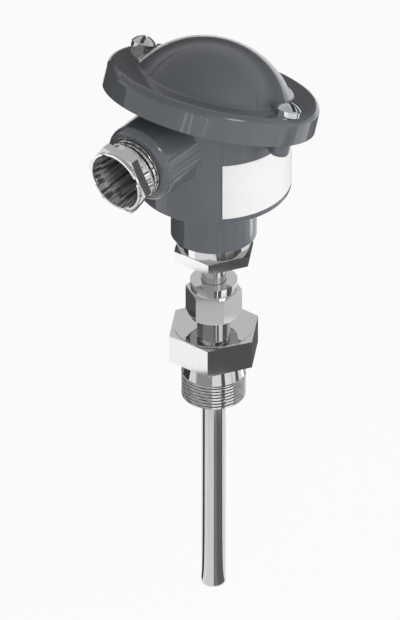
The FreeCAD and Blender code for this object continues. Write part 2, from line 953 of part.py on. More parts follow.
def leadWires():
    """Four leads that rise from the element, bend outwards above the block and end at a terminal."""
    wires = []
    elementTop = elementSpan()[1]
    wireHeight = blockTop + wireRadius + wireClearance
    for angle, radius in wirePlaces():
        bendStart = Vector(radius, 0, wireHeight - wireBend)
        bendMiddle = Vector(radius + wireBend * cornerShare, 0, wireHeight - wireBend * cornerShare)
        bendEnd = Vector(radius + wireBend, 0, wireHeight)
        end = Vector(terminalRadius - terminalLong / 2, 0, wireHeight)
        start = Vector(radius, 0, elementTop)
        path = Part.Wire([
            Part.makeLine(start, bendStart),
            Part.Arc(bendStart, bendMiddle, bendEnd).toShape(),
            Part.makeLine(bendEnd, end),
        ])
        section = Part.Wire(Part.makeCircle(wireRadius, start, up))
        wire = path.makePipeShell([section], True, True)
        wire.rotate(centre, up, angle)
        wires.append(wire)
    return Part.makeCompound(wires)


def allParts():
    """Every piece by name."""
    sealTop = screwInEnd - thrustRingThickness - 2 * seatGap
    pieces = {
        "head_housing": headHousing(),
        "lid": lid(),
        "lid_gasket": lidGasket(),
        "lid_screw_front": lidScrew(-1, frontSlotTurn),
        "lid_screw_back": lidScrew(1, backSlotTurn),
        "label": label(),
        "gland_screw": glandScrew(),
        "gland_thrust_ring_outer": thrustRing(sealTop + seatGap),
        "gland_seal": glandSeal(sealTop - sealLength),
        "gland_thrust_ring_inner": thrustRing(sealTop - sealLength - thrustRingThickness),
        "neck_fitting": neckFitting(),
        "union_nut": unionNut(),
        "ferrule": ferrule(),
        "process_fitting": processFitting(),
        "protection_tube": protectionTube(),
        "tube_plug": tubePlug(),
        "insert_plate": insertPlate(),
        "insert_screw_front": fixingScrew(-1),
        "insert_screw_back": fixingScrew(1),
        "insert_spring_front": insertSpring(-1),
        "insert_spring_back": insertSpring(1),
        "terminal_block": terminalBlock(),
        "terminal_screws": terminalScrews(),
        "block_screws": blockScrews(),
        "earth_washer": earthWasher(),
        "earth_screw": earthScrew(),
        "insert_sheath": insertSheath(),
        "insert_filling": insertFilling(),
        "rtd_element": rtdElement(),
        "lead_wires": leadWires(),
    }
    for number, angle in enumerate(terminalAngles(), start=1):
        pieces["terminal_%d" % number] = terminal(angle)
    return pieces


os.makedirs("parts", exist_ok=True)
for name, shape in allParts().items():
    shape.exportStep("parts/%s.step" % name)
    print(name, round(shape.Volume, 2), shape.isValid(), len(shape.Solids))
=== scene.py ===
import json
import math

import bmesh
import bpy
from mathutils import Matrix, Vector


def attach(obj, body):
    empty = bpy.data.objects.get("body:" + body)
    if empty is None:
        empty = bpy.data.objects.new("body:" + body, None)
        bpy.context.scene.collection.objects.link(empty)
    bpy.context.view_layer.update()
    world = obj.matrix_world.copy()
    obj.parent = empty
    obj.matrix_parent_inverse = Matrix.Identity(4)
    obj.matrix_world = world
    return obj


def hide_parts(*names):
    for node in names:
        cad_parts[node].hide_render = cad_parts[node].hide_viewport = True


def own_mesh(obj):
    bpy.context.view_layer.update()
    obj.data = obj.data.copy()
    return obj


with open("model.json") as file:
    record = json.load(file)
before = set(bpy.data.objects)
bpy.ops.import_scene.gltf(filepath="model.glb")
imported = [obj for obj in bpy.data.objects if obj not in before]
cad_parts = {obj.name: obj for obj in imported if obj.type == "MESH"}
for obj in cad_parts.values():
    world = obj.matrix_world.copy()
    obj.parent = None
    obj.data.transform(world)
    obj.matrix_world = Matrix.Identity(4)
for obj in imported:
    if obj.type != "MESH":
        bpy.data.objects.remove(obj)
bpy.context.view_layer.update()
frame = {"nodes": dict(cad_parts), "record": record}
mm = 0.001
print("frame loaded:", len(frame["nodes"]), "nodes")

# The two tilted frames of the head, as the CAD has them
lidTilt = math.radians(20)
entryDrop = math.radians(5)
entryHeight = 92.9 * mm
mergeGap = 0.002 * mm  # corners closer than this are one corner
lidFrame = Matrix((
    (math.cos(lidTilt), 0, math.sin(lidTilt), 0.5638 * mm),
    (0, 1, 0, 0),
    (-math.sin(lidTilt), 0, math.cos(lidTilt), 103.6948 * mm),
    (0, 0, 0, 1),
))
entryFrame = Matrix((
    (0, math.sin(entryDrop), -math.cos(entryDrop), 0),
    (1, 0, 0, 0),
    (0, -math.cos(entryDrop), -math.sin(entryDrop), entryHeight),
    (0, 0, 0, 1),
))
uprightFrame = Matrix.Identity(4)


def linear(hexText):  # an sRGB hex value turned linear
    parts = [int(hexText[place:place + 2], 16) / 255 for place in (1, 3, 5)]
    return [part / 12.92 if part <= 0.04045 else ((part + 0.055) / 1.055) ** 2.4 for part in parts] + [1.0]


def addNode(tree, kind, settings=None, values=None, links=None):
    node = tree.nodes.new(kind)
    for name, value in (settings or {}).items():
        setattr(node, name, value)
    for name, value in (values or {}).items():
        node.inputs[name].default_value = value
    for name, socket in (links or {}).items():
        tree.links.new(socket, node.inputs[name])
    return node


def newMaterial(name, shader):
    material = bpy.data.materials.new(name)
    material.use_nodes = True
    tree = material.node_tree
    tree.nodes.clear()
    surface = addNode(tree, "ShaderNodeBsdfPrincipled", values=shader)
    addNode(tree, "ShaderNodeOutputMaterial", links={"Surface": surface.outputs[0]})
    return material, tree, surface


def patternPlace(tree, turn=(0, 0, 0), centre=(0, 0, 0), stretch=(1, 1, 1)):
    place = addNode(tree, "ShaderNodeTexCoord")
    moved = addNode(
        tree,
        "ShaderNodeMapping",
        settings={"vector_type": "TEXTURE"},
        values={"Location": centre, "Rotation": turn, "Scale": stretch},
        links={"Vector": place.outputs["Object"]},
    )
    return moved.outputs[0]


def paintedCasting(name, look):
    # Stove enamel on a pressure die casting: an even grey with a faint cloudiness and the
    # shallow orange peel that breaks up its highlights.
    material, tree, surface = newMaterial(name, {
        "Metallic": 0.0,
        "IOR": look["ior"],
        "Specular IOR Level": look["underGloss"],
        "Coat Weight": look["coat"],
        "Coat Roughness": look["coatRoughness"],
    })
    place = patternPlace(tree)
    cloud = addNode(tree, "ShaderNodeTexNoise", values={"Scale": 1 / (look["cloud"] * mm), "Detail": 3.0},
                    links={"Vector": place})
    tone = addNode(tree, "ShaderNodeMix", settings={"data_type": "RGBA"}, links={"Factor": cloud.outputs[0]})
    tone.inputs[6].default_value = linear(look["dark"])
    tone.inputs[7].default_value = linear(look["light"])
    tree.links.new(tone.outputs[2], surface.inputs["Base Color"])
    sheen = addNode(tree, "ShaderNodeMapRange", links={"Value": cloud.outputs[0]})
    sheen.inputs["To Min"].default_value = look["roughness"] - 0.03
    sheen.inputs["To Max"].default_value = look["roughness"] + 0.03
    tree.links.new(sheen.outputs[0], surface.inputs["Roughness"])
    peel = addNode(tree, "ShaderNodeTexNoise", values={"Scale": 1 / (look["peel"] * mm), "Detail": 1.0},
                   links={"Vector": place})
    relief = addNode(tree, "ShaderNodeBump", values={"Strength": look["peelStrength"], "Distance": 0.02 * mm},
                     links={"Height": peel.outputs[0]})
    tree.links.new(relief.outputs[0], surface.inputs["Normal"])
    tree.links.new(relief.outputs[0], surface.inputs["Coat Normal"])
    return material


def turnedMetal(name, look):
    # Bar stock from the lathe: fine rings round the piece's own axis that spread each
    # highlight a little, with a soft change of tone between cuts.
    material, tree, surface = newMaterial(name, {"Metallic": 1.0})
    place = patternPlace(tree, turn=look.get("turn", (0, 0, 0)), centre=look.get("centre", (0, 0, 0)))
    parts = addNode(tree, "ShaderNodeSeparateXYZ", links={"Vector": place})
    flat = addNode(tree, "ShaderNodeCombineXYZ", links={"X": parts.outputs[0], "Y": parts.outputs[1]})
    radius = addNode(tree, "ShaderNodeVectorMath", settings={"operation": "LENGTH"},
                     links={"Vector": flat.outputs[0]})
    ring = addNode(tree, "ShaderNodeCombineXYZ", links={"X": radius.outputs["Value"], "Y": parts.outputs[2]})
    cuts = addNode(tree, "ShaderNodeTexNoise", values={"Scale": 1 / (look["cut"] * mm), "Detail": 2.0},
                   links={"Vector": ring.outputs[0]})
    smear = addNode(tree, "ShaderNodeTexNoise", values={"Scale": 1 / (look["smear"] * mm), "Detail": 3.0},
                    links={"Vector": place})
    tone = addNode(tree, "ShaderNodeMix", settings={"data_type": "RGBA"}, links={"Factor": cuts.outputs[0]})
    tone.inputs[6].default_value = linear(look["dark"])
    tone.inputs[7].default_value = linear(look["light"])
    colour = tone.outputs[2]
    if "rootRadius" in look:  # painted shade: the roots of a thread are drawn darker, standing in for the shade in its grooves
        shadeFade = addNode(tree, "ShaderNodeMapRange", links={"Value": radius.outputs["Value"]})
        shadeFade.inputs["From Min"].default_value = look["rootRadius"]
        shadeFade.inputs["From Max"].default_value = look["crestRadius"]
        rootShaded = addNode(tree, "ShaderNodeMix", settings={"data_type": "RGBA"},
                         links={"Factor": shadeFade.outputs[0]})
        rootShaded.inputs[6].default_value = linear(look["paintedRootShade"])
        tree.links.new(colour, rootShaded.inputs[7])
        colour = rootShaded.outputs[2]
    tree.links.new(colour, surface.inputs["Base Color"])
    sheen = addNode(tree, "ShaderNodeMapRange", links={"Value": smear.outputs[0]})
    sheen.inputs["To Min"].default_value = look["roughness"] - look["spread"]
    sheen.inputs["To Max"].default_value = look["roughness"] + look["spread"]
    tree.links.new(sheen.outputs[0], surface.inputs["Roughness"])
    relief = addNode(tree, "ShaderNodeBump", values={"Strength": look["bump"], "Distance": 0.01 * mm},
                     links={"Height": cuts.outputs[0]})
    tree.links.new(relief.outputs[0], surface.inputs["Normal"])
    return material


def drawnMetal(name, look):
    # Drawn tube: hairlines that run along the tube and pull its highlights into long streaks. Where the two
    # tones lie far apart, as in the bore, the streaks are painted reflections.
    material, tree, surface = newMaterial(name, {"Metallic": 1.0})
    place = patternPlace(tree, turn=look.get("turn", (0, 0, 0)), centre=look.get("centre", (0, 0, 0)),
                         stretch=(1, 1, look["length"]))
    lines = addNode(tree, "ShaderNodeTexNoise", values={"Scale": 1 / (look["line"] * mm), "Detail": 2.0},
                    links={"Vector": place})
    sharper = addNode(tree, "ShaderNodeMapRange", links={"Value": lines.outputs[0]})
    sharper.inputs["From Min"].default_value = 0.5 - look["blend"]
    sharper.inputs["From Max"].default_value = 0.5 + look["blend"]
    tone = addNode(tree, "ShaderNodeMix", settings={"data_type": "RGBA"},
                   links={"Factor": sharper.outputs[0]})
    tone.inputs[6].default_value = linear(look["dark"])
    tone.inputs[7].default_value = linear(look["light"])
    tree.links.new(tone.outputs[2], surface.inputs["Base Color"])
    sheen = addNode(tree, "ShaderNodeMapRange", links={"Value": lines.outputs[0]})
    sheen.inputs["To Min"].default_value = look["roughness"] - look["spread"]
    sheen.inputs["To Max"].default_value = look["roughness"] + look["spread"]
    tree.links.new(sheen.outputs[0], surface.inputs["Roughness"])
    relief = addNode(tree, "ShaderNodeBump", values={"Strength": look["bump"], "Distance": 0.01 * mm},
                     links={"Height": lines.outputs[0]})
    tree.links.new(relief.outputs[0], surface.inputs["Normal"])
    return material


def mattePiece(name, look):
    # Moulded, pressed or printed matter with a fine grain: rubber, ceramic, powder, label film.
    material, tree, surface = newMaterial(name, {"Metallic": 0.0, "IOR": look["ior"]})
    place = patternPlace(tree)
    grain = addNode(tree, "ShaderNodeTexNoise", values={"Scale": 1 / (look["grain"] * mm), "Detail": 3.0},
                    links={"Vector": place})
    tone = addNode(tree, "ShaderNodeMix", settings={"data_type": "RGBA"}, links={"Factor": grain.outputs[0]})
    tone.inputs[6].default_value = linear(look["dark"])
    tone.inputs[7].default_value = linear(look["light"])
    tree.links.new(tone.outputs[2], surface.inputs["Base Color"])
    sheen = addNode(tree, "ShaderNodeMapRange", links={"Value": grain.outputs[0]})
    sheen.inputs["To Min"].default_value = look["roughness"] - 0.05
    sheen.inputs["To Max"].default_value = look["roughness"] + 0.05
    tree.links.new(sheen.outputs[0], surface.inputs["Roughness"])
    relief = addNode(tree, "ShaderNodeBump", values={"Strength": look["bump"], "Distance": 0.02 * mm},
                     links={"Height": grain.outputs[0]})
    tree.links.new(relief.outputs[0], surface.inputs["Normal"])
    return material


lidTurn = (0, lidTilt, 0)
entryTurn = (0, -math.pi / 2 - entryDrop, 0)
entryCentre = (0, 0, entryHeight)
finishes = {
    "headEnamel": paintedCasting("headEnamel", {
        "dark": "#4f5359", "light": "#585c62", "cloud": 14, "roughness": 0.45, "ior": 1.5, "underGloss": 0.25,
        "coat": 1.0, "coatRoughness": 0.06, "peel": 0.9, "peelStrength": 0.05,
    }),
    # Bright-turned stainless steel: the hexagons, the nut, the necks and the ferrule
    "turnedStainless": turnedMetal("turnedStainless", {
        "dark": "#cbcbcb", "light": "#dedede", "cut": 0.25, "smear": 6,
        "roughness": 0.05, "spread": 0.02, "bump": 0.05,
    }),
    # Drawn and polished stainless tube and sheath
    "drawnStainless": drawnMetal("drawnStainless", {
        "dark": "#cbcbcb", "light": "#dedede", "line": 0.3, "length": 60, "roughness": 0.1, "spread": 0.03,
        "bump": 0.05, "blend": 0.5,
    }),
    # The same steel where a thread is cut, with painted shade darkening its roots
    "cutStainless": turnedMetal("cutStainless", {
        "dark": "#cbcbcb", "light": "#dedede", "cut": 0.25, "smear": 6,
        "roughness": 0.15, "spread": 0.03, "bump": 0.05,
        "rootRadius": 9.9 * mm, "crestRadius": 10.3 * mm, "paintedRootShade": "#4a4846",
    }),
    # Nickel plate over the cable entry's cut thread, with painted shade darkening its roots
    "cutNickel": turnedMetal("cutNickel", {
        "dark": "#cdcccb", "light": "#e0dfde", "cut": 0.3, "smear": 5,
        "roughness": 0.1, "spread": 0.02, "bump": 0.05,
        "turn": entryTurn, "centre": entryCentre,
        "rootRadius": 9.5 * mm, "crestRadius": 9.9 * mm, "paintedRootShade": "#5c5b59",
    }),
    # Nickel plate in its bore, with painted reflections: streaks of light and dark along the wall drawn into
    # its colour, coarse enough to show
    "boredNickelPaintedStreaks": drawnMetal("boredNickelPaintedStreaks", {
        "dark": "#858483", "light": "#ffffff", "line": 1.1, "length": 400, "roughness": 0.4, "spread": 0.08,
        "bump": 0.05, "blend": 0.1, "turn": entryTurn, "centre": entryCentre,
    }),
    # Bright nickel plate on the entry's turned brass
    "entryNickel": turnedMetal("entryNickel", {
        "dark": "#cdcccb", "light": "#e0dfde", "cut": 0.3, "smear": 5,
        "roughness": 0.06, "spread": 0.02, "bump": 0.05,
        "turn": entryTurn, "centre": entryCentre,
    }),
    # Zinc plate on the lid screws, turned about the lid's own tilt
    "lidScrewZinc": turnedMetal("lidScrewZinc", {
        "dark": "#c4c6c8", "light": "#d8dadc", "cut": 0.2, "smear": 3,
        "roughness": 0.1, "spread": 0.03, "bump": 0.1,
        "turn": lidTurn,
    }),
    # Duller plate on the small steel parts inside
    "platedSteel": turnedMetal("platedSteel", {
        "dark": "#a8aaac", "light": "#c4c6c8", "cut": 0.3, "smear": 4,
        "roughness": 0.28, "spread": 0.06, "bump": 0.1,
    }),
    "terminalBrass": turnedMetal("terminalBrass", {
        "dark": "#a98a4a", "light": "#c9a866", "cut": 0.3, "smear": 4,
        "roughness": 0.28, "spread": 0.06, "bump": 0.1,
    }),
    "springWire": turnedMetal("springWire", {
        "dark": "#8e8f90", "light": "#a9aaab", "cut": 0.3, "smear": 4,
        "roughness": 0.3, "spread": 0.06, "bump": 0.1,
    }),
    "labelFilm": mattePiece("labelFilm", {
        "dark": "#e5e5e5", "light": "#ebebeb", "grain": 3, "roughness": 0.45, "ior": 1.45, "bump": 0.02,
    }),
    "sealRubber": mattePiece("sealRubber", {
        "dark": "#161616", "light": "#222221", "grain": 0.8, "roughness": 0.65, "ior": 1.5, "bump": 0.2,
    }),
    "blockSteatite": mattePiece("blockSteatite", {
        "dark": "#dcd6c8", "light": "#eae5d9", "grain": 1.2, "roughness": 0.6, "ior": 1.55, "bump": 0.15,
    }),
    "packedPowder": mattePiece("packedPowder", {
        "dark": "#cfccc2", "light": "#e4e1d8", "grain": 0.4, "roughness": 0.85, "ior": 1.45, "bump": 0.5,
    }),
}
print("finishes made:", len(finishes))


def finishForm(piece, sharpAngle):  # smooth where the form is round, crisp where it has an edge
    form = bmesh.new()
    form.from_mesh(piece.data)
    bmesh.ops.remove_doubles(form, verts=form.verts, dist=mergeGap)
    bmesh.ops.dissolve_degenerate(form, edges=form.edges, dist=0.001 * mm)
    for face in form.faces:
        face.smooth = True
    for edge in form.edges:
        edge.smooth = edge.is_manifold and edge.calc_face_angle(0.0) < math.radians(sharpAngle)
    form.to_mesh(piece.data)
    form.free()
    weights = piece.modifiers.new("flatFacesStayFlat", "WEIGHTED_NORMAL")
    weights.keep_sharp = True
    weights.weight = 60


def copyNode(nodeName, pieceName):  # a merged copy of a CAD node's loose triangles
    mesh = frame["nodes"][nodeName].data.copy()
    mesh.materials.clear()
    if "custom_normal" in mesh.attributes:
        mesh.attributes.remove(mesh.attributes["custom_normal"])
    piece = bpy.data.objects.new(pieceName, mesh)
    bpy.context.scene.collection.objects.link(piece)
    form = bmesh.new()
    form.from_mesh(mesh)
    bmesh.ops.remove_doubles(form, verts=form.verts, dist=mergeGap)
    form.to_mesh(mesh)
    form.free()
    return piece


def slideAlong(piece, local, height, shift):  # moves what lies beyond a height along the piece's own axis
    back = local.inverted()
    step = local.to_3x3() @ Vector((0, 0, shift))
    for corner in piece.data.vertices:
        if (back @ corner.co).z > height:
            corner.co += step


def trimAway(piece, local, height):  # cuts off what lies below a height along the piece's own axis
    form = bmesh.new()
    form.from_mesh(piece.data)
    point = local @ Vector((0, 0, height))
    direction = (local.to_3x3() @ Vector((0, 0, 1))).normalized()
    cut = bmesh.ops.bisect_plane(
        form,
        geom=form.verts[:] + form.edges[:] + form.faces[:],
        plane_co=point,
        plane_no=direction,
        clear_inner=True,
    )
    edges = [item for item in cut["geom_cut"] if isinstance(item, bmesh.types.BMEdge)]
    bmesh.ops.triangle_fill(form, edges=edges, use_beauty=True)
    bmesh.ops.recalc_face_normals(form, faces=form.faces)
    form.to_mesh(piece.data)
    form.free()


# The V of a thread: the share of a pitch that stays flat at the root, how steeply the flanks
# rise, and how fast the thread runs out at its two ends
threadForm = {"rootFlat": 0.02, "flankRate": 2.6, "runOutRate": 1.5}


def threadTree():
    # A threaded stem with its bore, as one closed skin: a flat grid whose rows run up the
    # outside, in over the top and back down the bore.
    tree = bpy.data.node_groups.new("threadedStem", "GeometryNodeTree")
    tree.interface.new_socket("Geometry", in_out="OUTPUT", socket_type="NodeSocketGeometry")
    sizes = ["Bore Radius", "Bore Top Radius", "Root Radius", "Crest Radius", "Top Radius", "Pitch",
             "Bottom", "Thread Top", "Top"]
    for name in sizes:
        tree.interface.new_socket(name, in_out="INPUT", socket_type="NodeSocketFloat")
    for name in ("Around", "Rows"):
        tree.interface.new_socket(name, in_out="INPUT", socket_type="NodeSocketInt")
    tree.interface.new_socket("Finish", in_out="INPUT", socket_type="NodeSocketMaterial")
    given = addNode(tree, "NodeGroupInput").outputs

    def calc(operation, first, second=None, third=None):
        node = addNode(tree, "ShaderNodeMath", settings={"operation": operation})
        for place, value in enumerate((first, second, third)):
            if value is None:
                continue
            if isinstance(value, (int, float)):
                node.inputs[place].default_value = value
            else:
                tree.links.new(value, node.inputs[place])
        return node.outputs[0]

    grid = addNode(tree, "GeometryNodeMeshGrid", values={"Size X": 1.0, "Size Y": 1.0},
                   links={"Vertices X": given["Around"], "Vertices Y": given["Rows"]})
    spot = addNode(tree, "ShaderNodeSeparateXYZ",
                   links={"Vector": addNode(tree, "GeometryNodeInputPosition").outputs[0]})
    turn = calc("ADD", spot.outputs[0], 0.5)
    lastRow = calc("SUBTRACT", given["Rows"], 1)
    row = calc("ROUND", calc("MULTIPLY", calc("ADD", spot.outputs[1], 0.5), lastRow))
    climb = calc("DIVIDE", calc("SUBTRACT", row, 1), calc("SUBTRACT", lastRow, 3))
    climb = calc("MINIMUM", calc("MAXIMUM", climb, 0), 1)
    onLast = calc("GREATER_THAN", row, calc("SUBTRACT", lastRow, 0.5))
    climb = calc("MULTIPLY", climb, calc("SUBTRACT", 1, onLast))
    height = calc("MULTIPLY_ADD", climb, calc("SUBTRACT", given["Top"], given["Bottom"]), given["Bottom"])
    phase = calc("FRACT", calc("SUBTRACT", calc("DIVIDE", height, given["Pitch"]), turn))
    ridge = calc("ABSOLUTE", calc("SUBTRACT", calc("MULTIPLY", phase, 2), 1))
    ridge = calc("MULTIPLY", calc("SUBTRACT", ridge, threadForm["rootFlat"]), threadForm["flankRate"])
    ridge = calc("MINIMUM", calc("MAXIMUM", ridge, 0), 1)
    depth = calc("MULTIPLY", ridge, calc("SUBTRACT", given["Crest Radius"], given["Root Radius"]))
    fromBottom = calc("SUBTRACT", height, given["Bottom"])
    fromTop = calc("SUBTRACT", given["Thread Top"], height)
    runOut = calc("MAXIMUM", calc("MINIMUM", fromBottom, fromTop), 0)
    grooved = calc("ADD", given["Root Radius"],
                   calc("MINIMUM", depth, calc("MULTIPLY", runOut, threadForm["runOutRate"])))
    rise = calc("DIVIDE", calc("SUBTRACT", height, given["Thread Top"]),
                calc("SUBTRACT", given["Top"], given["Thread Top"]))
    drop = calc("MULTIPLY", rise, calc("SUBTRACT", given["Crest Radius"], given["Top Radius"]))
    above = calc("GREATER_THAN", rise, 0)
    outer = calc("ADD", calc("MULTIPLY", grooved, calc("SUBTRACT", 1, above)),
                 calc("MULTIPLY", calc("SUBTRACT", given["Crest Radius"], drop), above))
    inBore = calc("MAXIMUM", calc("LESS_THAN", row, 0.5),
                  calc("GREATER_THAN", row, calc("SUBTRACT", lastRow, 1.5)))
    flare = calc("MULTIPLY", climb, calc("SUBTRACT", given["Bore Top Radius"], given["Bore Radius"]))
    radius = calc("ADD", calc("MULTIPLY", outer, calc("SUBTRACT", 1, inBore)),
                  calc("MULTIPLY", calc("ADD", given["Bore Radius"], flare), inBore))
    angle = calc("MULTIPLY", turn, 2 * math.pi)
    goal = addNode(tree, "ShaderNodeCombineXYZ", links={
        "X": calc("MULTIPLY", radius, calc("COSINE", angle)),
        "Y": calc("MULTIPLY", radius, calc("SINE", angle)),
        "Z": height,
    })
    bent = addNode(tree, "GeometryNodeSetPosition",
                   links={"Geometry": grid.outputs[0], "Position": goal.outputs[0]})
    closed = addNode(tree, "GeometryNodeMergeByDistance", values={"Distance": 0.001 * mm},
                     links={"Geometry": bent.outputs[0]})
    real = addNode(tree, "GeometryNodeRealizeInstances", links={"Geometry": closed.outputs[0]})
    coated = addNode(tree, "GeometryNodeSetMaterial",
                     links={"Geometry": real.outputs[0], "Material": given["Finish"]})
    addNode(tree, "NodeGroupOutput", links={"Geometry": coated.outputs[0]})
    return tree


threadMaker = threadTree()


def threadMesh(sizes, finish, local):
    host = bpy.data.objects.new("threadHost", bpy.data.meshes.new("threadHost"))
    bpy.context.scene.collection.objects.link(host)
    maker = host.modifiers.new("thread", "NODES")
    maker.node_group = threadMaker
    wanted = dict(sizes, Finish=finish)
    for item in threadMaker.interface.items_tree:
        if item.in_out == "INPUT":
            maker[item.identifier] = wanted[item.name]
    seen = host.evaluated_get(bpy.context.evaluated_depsgraph_get())
    mesh = bpy.data.meshes.new_from_object(seen)
    mesh.transform(local)
    bpy.data.objects.remove(host)
    return mesh


def addThread(piece, sizes, finish, local):
    mesh = threadMesh(sizes, finish, local)
    form = bmesh.new()
    form.from_mesh(piece.data)
    form.from_mesh(mesh)
    form.to_mesh(piece.data)
    form.free()
    bpy.data.meshes.remove(mesh)


# What each CAD node becomes: its finish, the record's slot name and the angle from which its edges stay
# crisp; it rides on the body the record gives it
dressing = {
    "head_housing": ("headEnamel", "painted_casting", 28),
    "lid": ("headEnamel", "painted_casting", 28),
    "lid_gasket": ("sealRubber", "seal_rubber", 40),
    "lid_screw_front": ("lidScrewZinc", "zinc_screw", 30),
    "lid_screw_back": ("lidScrewZinc", "zinc_screw", 30),
    "label": ("labelFilm", "label_white", 40),
    "gland_screw": ("entryNickel", "nickel_brass", 28),
    "gland_thrust_ring_outer": ("platedSteel", "zinc_screw", 40),
    "gland_seal": ("sealRubber", "seal_rubber", 40),
    "gland_thrust_ring_inner": ("platedSteel", "zinc_screw", 40),
    "neck_fitting": ("turnedStainless", "stainless", 28),
    "union_nut": ("turnedStainless", "stainless", 28),
    "ferrule": ("turnedStainless", "stainless", 28),
    "process_fitting": ("turnedStainless", "stainless", 28),
    "protection_tube": ("drawnStainless", "stainless_tube", 40),
    "tube_plug": ("drawnStainless", "stainless_tube", 40),
    "insert_plate": ("platedSteel", "zinc_screw", 40),
    "insert_screw_front": ("platedSteel", "zinc_screw", 30),
    "insert_screw_back": ("platedSteel", "zinc_screw", 30),
    "insert_spring_front": ("springWire", "spring_steel", 60),
    "insert_spring_back": ("springWire", "spring_steel", 60),
    "terminal_block": ("blockSteatite", "block_ceramic", 30),
    "terminal_1": ("terminalBrass", "brass", 30),
    "terminal_2": ("terminalBrass", "brass", 30),
    "terminal_3": ("terminalBrass", "brass", 30),
    "terminal_4": ("terminalBrass", "brass", 30),
    "terminal_screws": ("platedSteel", "zinc_screw", 30),
    "block_screws": ("platedSteel", "zinc_screw", 30),
    "earth_washer": ("platedSteel", "zinc_screw", 30),
    "earth_screw": ("platedSteel", "zinc_screw", 30),
    "insert_sheath": ("drawnStainless", "stainless_tube", 40),
    "insert_filling": ("packedPowder", "filling", 40),
    "rtd_element": ("blockSteatite", "element_ceramic", 40),
    "lead_wires": ("springWire", "wire_nickel", 60),
}

screwReach = 30.6088 * mm  # from the lid's middle to each of its screws

# Thread forms in place of the plain cylinders. The process thread's pitch is the one that the
# photograph shows, which is finer than the 1.814 mm of a real G 1/2.
processThread = {
    "Bore Radius": 4.05 * mm, "Bore Top Radius": 4.05 * mm, "Root Radius": 9.75 * mm,
    "Crest Radius": 10.48 * mm, "Top Radius": 9.4 * mm, "Pitch": 1.155 * mm,
    "Bottom": -16.2 * mm, "Thread Top": -6.9 * mm, "Top": -2.3 * mm,
    "Around": 129, "Rows": 200,
}
entryThread = {
    "Bore Radius": 8.0 * mm, "Bore Top Radius": 8.33 * mm, "Root Radius": 9.1 * mm,
    "Crest Radius": 10.0 * mm, "Top Radius": 9.4 * mm, "Pitch": 1.5 * mm,
    "Bottom": 32.95 * mm, "Thread Top": 41.3 * mm, "Top": 41.9 * mm,
    "Around": 97, "Rows": 120,
}
lidScrewThread = {
    "Bore Radius": 0.0, "Bore Top Radius": 0.0, "Root Radius": 1.62 * mm,
    "Crest Radius": 2.0 * mm, "Top Radius": 2.0 * mm, "Pitch": 0.7 * mm,
    "Bottom": -11.6 * mm, "Thread Top": -4.6 * mm, "Top": 0.6 * mm,
    "Around": 33, "Rows": 150,
}
threads = {  # node: sizes, frame, height of the cut
    "process_fitting": (processThread, uprightFrame, -2.25 * mm),
    "gland_screw": (entryThread, entryFrame, 41.85 * mm),
    "lid_screw_front": (lidScrewThread, lidFrame @ Matrix.Translation((0, -screwReach, 0)), -0.6 * mm),
    "lid_screw_back": (lidScrewThread, lidFrame @ Matrix.Translation((0, screwReach, 0)), -0.6 * mm),
}


facingShare = 0.25  # a face counts as facing out or in from this share on


def refinish(piece, finish, local, heights, radii, facing):  # another finish for the faces round one axis
    piece.data.materials.append(finish)
    index = len(piece.data.materials) - 1
    back = local.inverted()
    for face in piece.data.polygons:
        spot = back @ face.center
        reach = math.hypot(spot.x, spot.y)
        if not (heights[0] < spot.z < heights[1] and radii[0] < reach < radii[1]):
            continue
        outward = (back.to_3x3() @ face.normal).dot(Vector((spot.x, spot.y, 0))) / reach
        if outward * facing > facingShare:
            face.material_index = index


# Cut threads get painted shade in their roots and the bore painted reflections: node, finish, frame, heights,
# radii, facing out or in
threadShadeAndBoreStreaks = [
    ("process_fitting", "cutStainless", uprightFrame, (-16.3 * mm, -6.9 * mm), (9.6 * mm, 10.6 * mm), 1),
    ("gland_screw", "cutNickel", entryFrame, (32.9 * mm, 41.8 * mm), (9.0 * mm, 10.1 * mm), 1),
    ("gland_screw", "boredNickelPaintedStreaks", entryFrame, (32.9 * mm, 49.4 * mm), (7.9 * mm, 9.65 * mm), -1),
]
# The entry's rim sits a little nearer to the boss than in the CAD
entryRim = {"from": 45.6 * mm, "shift": -1.2 * mm}
bodyOf = {node: body for body, nodes in frame["record"]["behaviour"]["bodies"].items() for node in nodes}
pieces = {}
for node, (finish, slotName, sharpAngle) in dressing.items():
    piece = copyNode(node, "piece_" + node)
    if node == "gland_screw":
        slideAlong(piece, entryFrame, entryRim["from"], entryRim["shift"])
    if node in threads:
        sizes, local, cutHeight = threads[node]
        trimAway(piece, local, cutHeight)
        addThread(piece, sizes, finishes[finish], local)
    piece.data.materials.clear()
    piece.data.materials.append(finishes[finish])
    finishForm(piece, sharpAngle)
    for paintedLightNode, paintedLightFinish, local, heights, radii, facing in threadShadeAndBoreStreaks:
        if paintedLightNode == node:
            refinish(piece, finishes[paintedLightFinish], local, heights, radii, facing)
    pieces[node] = piece
print("pieces dressed:", len(pieces))

for node, piece in pieces.items():
    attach(piece, bodyOf[node])
    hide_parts(node)
for side in ("front", "back"):
    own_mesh(pieces["insert_spring_" + side])

# Floor, room, lamps and camera
studio = {
    "floorHeight": -90.6 * mm, "floorSize": 8.0, "floorTone": "#f4f4f4", "floorGlow": 0.92,
    "roomTone": "#ffffff", "roomFill": 0.35,
}
floorMesh = bpy.data.meshes.new("studioFloor")
half = studio["floorSize"] / 2
floorMesh.from_pydata(
    [(-half, -half, studio["floorHeight"]), (half, -half, studio["floorHeight"]),
     (half, half, studio["floorHeight"]), (-half, half, studio["floorHeight"])],
    [], [(0, 1, 2, 3)],
)
floor = bpy.data.objects.new("studioFloor", floorMesh)
bpy.context.scene.collection.objects.link(floor)


